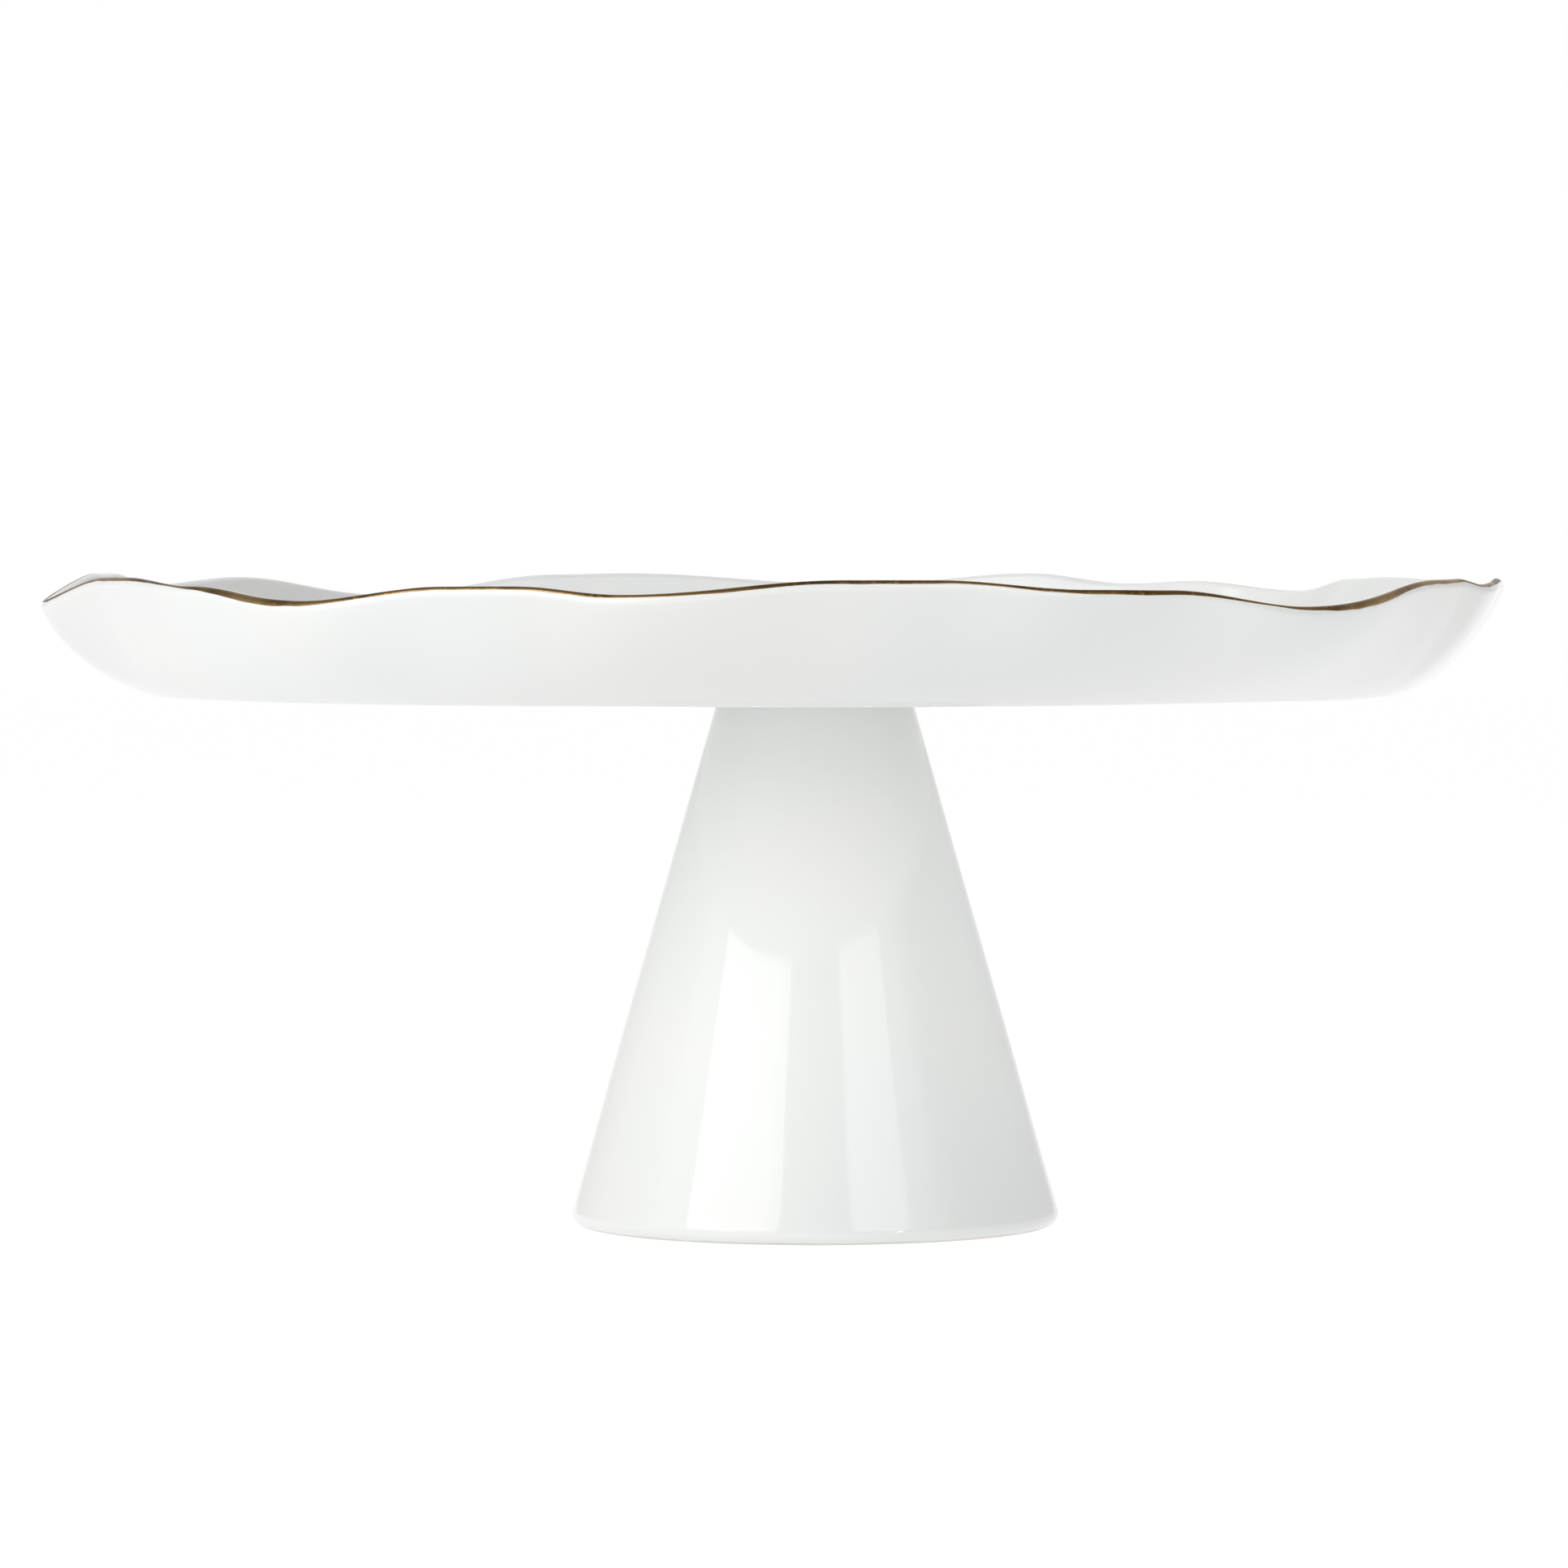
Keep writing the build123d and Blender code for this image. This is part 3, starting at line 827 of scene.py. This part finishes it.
def makeThreadTree():
    # A threaded shank: a grid rolled into a rod whose radius follows the helix.
    tree, given = newTree("threadedShank", {
        "Radius": "Float", "Pitch": "Float", "Depth": "Float", "Thread top": "Float",
        "Point": "Float", "End": "Float", "Top": "Float", "Columns": "Int", "Rows": "Int",
        "Material": "Material"})
    grid, column, row = rolledGrid(tree, given["Columns"], given["Rows"])
    # the first and last rows close the rod's ends at its axis
    lastRow = addNode(tree, "FunctionNodeIntegerMath", {0: given["Rows"], 1: 1}, operation="SUBTRACT")
    lastStep = addNode(tree, "FunctionNodeIntegerMath", {0: lastRow, 1: 1}, operation="SUBTRACT")
    height = addNode(tree, "ShaderNodeMapRange", {
        "Value": row, "From Min": 1.0, "From Max": lastStep,
        "To Min": given["End"], "To Max": given["Top"]})
    afterFirst = addNode(tree, "ShaderNodeMath", {0: row, 1: 0.5}, operation="GREATER_THAN")
    beforeLast = addNode(tree, "ShaderNodeMath", {0: row, 1: lastRow}, operation="LESS_THAN")
    inside = addNode(tree, "ShaderNodeMath", {0: afterFirst, 1: beforeLast}, operation="MULTIPLY")
    around = addNode(tree, "ShaderNodeMath", {0: column, 1: given["Columns"]}, operation="DIVIDE")
    climbs = addNode(tree, "ShaderNodeMath", {0: height, 1: given["Pitch"]}, operation="DIVIDE")
    phase = addNode(tree, "ShaderNodeMath", {0: climbs, 1: around}, operation="SUBTRACT")
    flank = addNode(tree, "ShaderNodeMath", {0: phase, 1: 0.5}, operation="PINGPONG")
    root = addNode(tree, "ShaderNodeMapRange", {
        "Value": flank, "From Min": 0.07, "From Max": 0.44, "To Min": 0.0, "To Max": 1.0})
    runOut = addNode(tree, "ShaderNodeMath", {
        0: given["Pitch"], 1: given["Thread top"]}, operation="ADD")
    fade = addNode(tree, "ShaderNodeMapRange", {
        "Value": height, "From Min": given["Thread top"], "From Max": runOut,
        "To Min": given["Depth"], "To Max": 0.0})
    cut = addNode(tree, "ShaderNodeMath", {0: root, 1: fade}, operation="MULTIPLY")
    thread = addNode(tree, "ShaderNodeMath", {0: given["Radius"], 1: cut}, operation="SUBTRACT")
    fromEnd = addNode(tree, "ShaderNodeMath", {0: height, 1: given["End"]}, operation="SUBTRACT")
    tip = addNode(tree, "ShaderNodeMath", {
        0: given["Radius"], 1: given["Point"]}, operation="SUBTRACT")
    cone = addNode(tree, "ShaderNodeMath", {0: tip, 1: fromEnd}, operation="ADD")
    radius = addNode(tree, "ShaderNodeMath", {0: thread, 1: cone}, operation="MINIMUM")
    drawnIn = addNode(tree, "ShaderNodeMath", {0: radius, 1: inside}, operation="MULTIPLY")
    turn = addNode(tree, "ShaderNodeMath", {0: around, 1: 2 * math.pi}, operation="MULTIPLY")
    east = addNode(tree, "ShaderNodeMath", {0: turn}, operation="COSINE")
    north = addNode(tree, "ShaderNodeMath", {0: turn}, operation="SINE")
    x = addNode(tree, "ShaderNodeMath", {0: east, 1: drawnIn}, operation="MULTIPLY")
    y = addNode(tree, "ShaderNodeMath", {0: north, 1: drawnIn}, operation="MULTIPLY")
    target = addNode(tree, "ShaderNodeCombineXYZ", {0: x, 1: y, 2: height})
    shaped = addNode(tree, "GeometryNodeSetPosition", {"Geometry": grid, "Position": target})
    closed = addNode(tree, "GeometryNodeMergeByDistance", {
        "Geometry": shaped, "Distance": mergeWithin * mm})
    finishTree(tree, closed, given["Material"])
    return tree


def threadedShank():
    j = jointSizes
    end = level("mounting_bolt", 0)
    top = shoulder + 0.5  # buried in the head
    return runTree(lineObject("shankSeed", [(0, 0, 0)], {}), makeThreadTree(), {
        "Radius": j["boltRadius"] * mm, "Pitch": j["pitch"] * mm, "Depth": j["threadDepth"] * mm,
        "Thread top": (shoulder - j["threadStart"]) * mm, "Point": j["boltPoint"] * mm,
        "End": end * mm, "Top": top * mm, "Columns": j["shankColumns"],
        "Rows": round((top - end) / j["pitch"] * j["rowsPerPitch"]),
        "Material": fittingMaterials["zincPlatedSteel"]}, "threadedShank")


def joined(name, things):
    # one mesh of several
    vertices, faces = [], []
    for thing in things:
        first = len(vertices)
        vertices += [tuple(v.co) for v in thing.data.vertices]
        faces += [[first + i for i in face.vertices] for face in thing.data.polygons]
    mesh = bpy.data.meshes.new(name)
    mesh.from_pydata(vertices, [], faces)
    mesh.shade_smooth()
    mesh.materials.append(things[0].data.materials[0])
    whole = bpy.data.objects.new(name, mesh)
    bpy.context.scene.collection.objects.link(whole)
    for thing in things:
        bpy.data.objects.remove(thing)
    return whole


bolt = joined("mountingBolt", [boltHead(), threadedShank()])
keep(bolt, "mounting_bolt", "plate")

nutSizes = {
    "seatRadius": 6.5,
    "endRadius": 5.2,
    "height": 8.0,
    "wingRadius": 15.0,
    "wingReach": 15.0,
    "wingThickness": 2.5,
    "wingEdge": 1.2,  # its thickness at the very edge
    "wingBevel": 0.5,
    "wingRounding": 2.6,
    "wingSlant": 70.0,  # its upper and lower edges lean by this much from upright
    "wingDroop": 0.4,
    # where the wing enters the hub: radius, and way below the seat or above the far end
    "wingAbove": [(3.6, 1.0), (6.1, 2.0)],
    "wingBelow": [(4.2, 0.6), (3.6, 0.5)],
    "bore": 3.15,
    "columns": 96,
    "voxel": 0.3,
    "softening": 5,  # passes
}
nutSeat = level("wing_nut", 1)
nutEnd = nutSeat - nutSizes["height"]


def wing(side):
    # one wing: its outline, thinner towards its edge, and closed all round
    n = nutSizes
    tip = nutSeat - n["wingReach"]
    rounding = n["wingRounding"]
    slant = n["wingSlant"]
    outerLevel = nutEnd + n["wingThickness"] / 2 - rounding - n["wingDroop"]
    outer = Vector((n["wingRadius"] - rounding, outerLevel))
    lower = Vector((n["wingRadius"] - rounding, tip + rounding))
    outline = [Vector((radius, nutSeat - below)) for radius, below in n["wingAbove"]]
    outline += [outer + away(slant - slant * k / 6, rounding) for k in range(7)]
    outline += [lower + away(-90 * k / 6, rounding) for k in range(7)]
    outline += [lower + away(-90 - slant * k / 4, rounding) for k in range(1, 5)]
    outline += [Vector((radius, nutEnd + above)) for radius, above in n["wingBelow"]]
    middle = sum(outline, Vector((0, 0))) / len(outline)
    rims = []
    for inset, half in ((0.0, n["wingEdge"] / 2), (n["wingBevel"], n["wingThickness"] / 2)):
        for sign in (-1, 1):
            rim = [point + (middle - point).normalized() * inset for point in outline]
            rims.append([(side * p.x * mm, sign * half * mm, p.y * mm) for p in rim])
    count = len(outline)
    order = [rims[2], rims[0], rims[1], rims[3]]  # from one face over the edge to the other
    vertices = [point for rim in order for point in rim]
    faces = [list(range(count)), list(range(3 * count, 4 * count))[::-1]]
    for r in range(3):
        for i in range(count):
            k = (i + 1) % count
            faces.append([r * count + k, r * count + i, (r + 1) * count + i, (r + 1) * count + k])
    mesh = bpy.data.meshes.new("wing")
    mesh.from_pydata(vertices, [], faces)
    mesh.materials.append(fittingMaterials["castZinc"])
    thing = bpy.data.objects.new("wing", mesh)
    bpy.context.scene.collection.objects.link(thing)
    return thing


def makeWingNut():
    # hub and wings are fused and softened, as a casting's corners are
    n = nutSizes
    hubLoop = roundedLoop([
        (n["bore"], nutEnd, 0.4), (n["endRadius"], nutEnd, 0.6), (n["seatRadius"], nutSeat, 0.3),
        (n["bore"], nutSeat, 0.3)], 0.6)
    hub = turned("nutHub", hubLoop, fittingMaterials["castZinc"], n["columns"])
    rough = joined("nutRough", [hub, wing(1), wing(-1)])
    fuse = rough.modifiers.new("fuse", "REMESH")
    fuse.mode = "VOXEL"
    fuse.voxel_size = n["voxel"] * mm
    fuse.use_smooth_shade = True
    soften = rough.modifiers.new("soften", "SMOOTH")
    soften.factor = 0.5
    soften.iterations = n["softening"]
    return bake(rough, "wingNut")


keep(makeWingNut(), "wing_nut", "wing_nut")
print("bolt, washers and wing nut made")

studio = {
    "floorColour": "#5c5c5c",
    "floorGlow": 0.93,  # the table is lit from below, so that shadows on it stay faint
    "behind": 1.0,  # brightness of the backdrop
    "besides": 0.72,  # it falls off on both sides, which draws the outline darker
    "left": 1.0,  # brightness of the room on the viewer's side, from left to right
    "right": 0.1,
    "overhead": 0.32,  # how much of either is left straight up
    # over which X, Y and Z of a direction they change
    "behindFrom": (-0.3, 0.5),
    "besidesFrom": (0.12, 0.5),
    "rightFrom": (-0.9, 0.9),
    "overheadFrom": (0.15, 0.9),
    "target": (0.0, 0.0, 0.07),  # metres
}
# Softboxes: direction from the viewer's side, elevation, distance and size in metres, brightness.
softboxes = {
    "leftSoftbox": {"turn": -42.0, "rise": 35.0, "away": 1.5, "size": (1.24, 1.6), "glow": 1.45},
    "leftSkirt": {"turn": -56.0, "rise": 34.0, "away": 1.7, "size": (1.9, 1.7), "glow": 0.25},
    "rightSoftbox": {"turn": 32.0, "rise": 35.0, "away": 1.5, "size": (0.75, 1.5), "glow": 0.95},
    "rightSkirt": {"turn": 42.0, "rise": 34.0, "away": 1.7, "size": (1.3, 1.6), "glow": 0.35},
    # a fill from above and behind, for the plate's floor
    "topFill": {"turn": 180.0, "rise": 50.0, "away": 1.5, "size": (1.2, 1.2), "glow": 1.6},
}
# Two snooted lamps low in front reach the foot, under the plate. Places are in metres.
snoots = {
    "leftSnoot": {"aim": (-0.016, 0, 0.07), "lamp": (-1.22, -1.46, 0.12), "power": 28.0},
    "rightSnoot": {"aim": (0.02, 0, 0.058), "lamp": (1.22, -1.46, 0.12), "power": 31.0},
}
snootSizes = {"radius": 0.04, "cone": 5.0}
viewer = {
    "lens": 164.3,
    "sensor": 36.0,
    "at": (-0.0065, -1.499, 0.1391),  # metres
    "down": 1.79,  # degrees below the horizontal
}


def makeFloor():
    mesh = bpy.data.meshes.new("table")
    side = 6.0
    mesh.from_pydata([(-side, -side, 0), (side, -side, 0), (side, side, 0), (-side, side, 0)], [],
                     [(0, 1, 2, 3)])
    table = bpy.data.objects.new("table", mesh)
    bpy.context.scene.collection.objects.link(table)
    # opal acrylic light table: matt, pale, faintly lit through
    material, tree, place = newMaterial("opalAcrylic")
    finishShader(tree, {
        "Base Color": linear(studio["floorColour"]), "Roughness": 0.9, "Specular IOR Level": 0.1,
        "Emission Color": (1, 1, 1, 1), "Emission Strength": studio["floorGlow"]})
    mesh.materials.append(material)


def makeWorld():
    # bright backdrop beyond the stand, a dimmer room on the viewer's side
    world = bpy.data.worlds.new("room")
    bpy.context.scene.world = world
    world.use_nodes = True
    tree = world.node_tree
    tree.nodes.clear()
    direction = addNode(tree, "ShaderNodeTexCoord", output="Generated")
    ways = addNode(tree, "ShaderNodeSeparateXYZ", {0: direction}).node.outputs
    s = studio
    beyond = addNode(tree, "ShaderNodeMapRange", {
        "Value": ways["Y"], "From Min": s["behindFrom"][0], "From Max": s["behindFrom"][1]},
        interpolation_type="SMOOTHSTEP")
    nearSide = addNode(tree, "ShaderNodeMapRange", {
        "Value": ways["X"], "From Min": s["rightFrom"][0], "From Max": s["rightFrom"][1],
        "To Min": s["left"], "To Max": s["right"]})
    aside = addNode(tree, "ShaderNodeMath", {0: ways["X"]}, operation="ABSOLUTE")
    backdrop = addNode(tree, "ShaderNodeMapRange", {
        "Value": aside, "From Min": s["besidesFrom"][0], "From Max": s["besidesFrom"][1],
        "To Min": s["behind"], "To Max": s["besides"]}, interpolation_type="SMOOTHSTEP")
    around = addNode(tree, "ShaderNodeMix", {0: beyond, 2: nearSide, 3: backdrop})
    ceiling = addNode(tree, "ShaderNodeMapRange", {
        "Value": ways["Z"], "From Min": s["overheadFrom"][0], "From Max": s["overheadFrom"][1],
        "To Min": 1.0, "To Max": s["overhead"]})
    glow = addNode(tree, "ShaderNodeMath", {0: around, 1: ceiling}, operation="MULTIPLY")
    background = addNode(tree, "ShaderNodeBackground", {"Color": (1, 1, 1, 1), "Strength": glow})
    addNode(tree, "ShaderNodeOutputWorld", {"Surface": background})


def makeSoftbox(name):
    s = softboxes[name]
    light = bpy.data.lights.new(name, "AREA")
    light.shape = "RECTANGLE"
    light.size, light.size_y = s["size"]
    light.energy = 4 * s["glow"] * s["size"][0] * s["size"][1]  # watts for that brightness
    lamp = bpy.data.objects.new(name, light)
    bpy.context.scene.collection.objects.link(lamp)
    turn, rise = math.radians(s["turn"]), math.radians(s["rise"])
    toLamp = Vector((math.sin(turn) * math.cos(rise), -math.cos(turn) * math.cos(rise), math.sin(rise)))
    lamp.location = Vector(studio["target"]) + toLamp * s["away"]
    lamp.rotation_euler = toLamp.to_track_quat("Z", "Y").to_euler()
    lamp.visible_camera = False
    lamp.visible_glossy = name != "topFill"  # kept out of the gold's reflections


def makeSnoot(name):
    s = snoots[name]
    light = bpy.data.lights.new(name, "SPOT")
    light.energy = s["power"]
    light.shadow_soft_size = snootSizes["radius"]
    light.spot_size = math.radians(snootSizes["cone"])
    light.spot_blend = 1.0
    lamp = bpy.data.objects.new(name, light)
    bpy.context.scene.collection.objects.link(lamp)
    lamp.location = s["lamp"]
    toLamp = Vector(s["lamp"]) - Vector(s["aim"])
    lamp.rotation_euler = toLamp.to_track_quat("Z", "Y").to_euler()
    lamp.visible_camera = False


def makeCamera():
    lens = bpy.data.cameras.new("viewer")
    lens.lens = viewer["lens"]
    lens.sensor_width = viewer["sensor"]
    camera = bpy.data.objects.new("viewer", lens)
    bpy.context.scene.collection.objects.link(camera)
    camera.location = viewer["at"]
    camera.rotation_euler = (math.radians(90 - viewer["down"]), 0, 0)
    bpy.context.scene.camera = camera


makeFloor()
makeWorld()
for name in softboxes:
    makeSoftbox(name)
for name in snoots:
    makeSnoot(name)
makeCamera()
bpy.context.scene.view_settings.view_transform = "Standard"  # keeps the white backdrop white
print("studio made")
